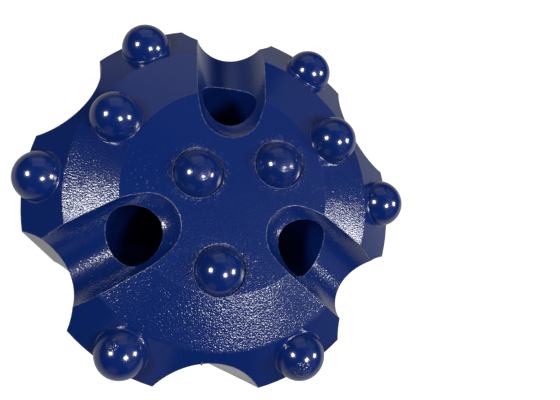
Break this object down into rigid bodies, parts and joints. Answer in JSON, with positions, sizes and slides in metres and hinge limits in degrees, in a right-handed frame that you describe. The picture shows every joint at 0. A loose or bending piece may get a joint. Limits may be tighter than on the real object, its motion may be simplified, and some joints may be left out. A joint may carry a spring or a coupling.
{
  "type": "button drill bit",
  "caption": "Down-the-hole hammer bit: fluted steel head with domed carbide buttons and flushing holes, on a splined shank.",
  "frame": {"origin": "centre of the flat strike face at the shank's tail end, on the bit axis", "axes": "+Z along the bit axis towards the drilling face, +X through the gauge button on the widest diameter; one flushing hole lies on +Y"},
  "size_m": [0.105, 0.097, 0.2207],
  "materials": {
    "painted_steel": "gloss blue enamel over machined and blasted steel",
    "painted_carbide": "gloss blue enamel over polished carbide domes"
  },
  "bodies": {
    "root": {"bit_body": "painted_steel", "gauge_button_1": "painted_carbide", "gauge_button_2": "painted_carbide", "gauge_button_3": "painted_carbide", "gauge_button_4": "painted_carbide", "gauge_button_5": "painted_carbide", "gauge_button_6": "painted_carbide", "mid_button_1": "painted_carbide", "mid_button_2": "painted_carbide", "front_button_1": "painted_carbide", "front_button_2": "painted_carbide", "front_button_3": "painted_carbide"}
  },
  "joints": []
}
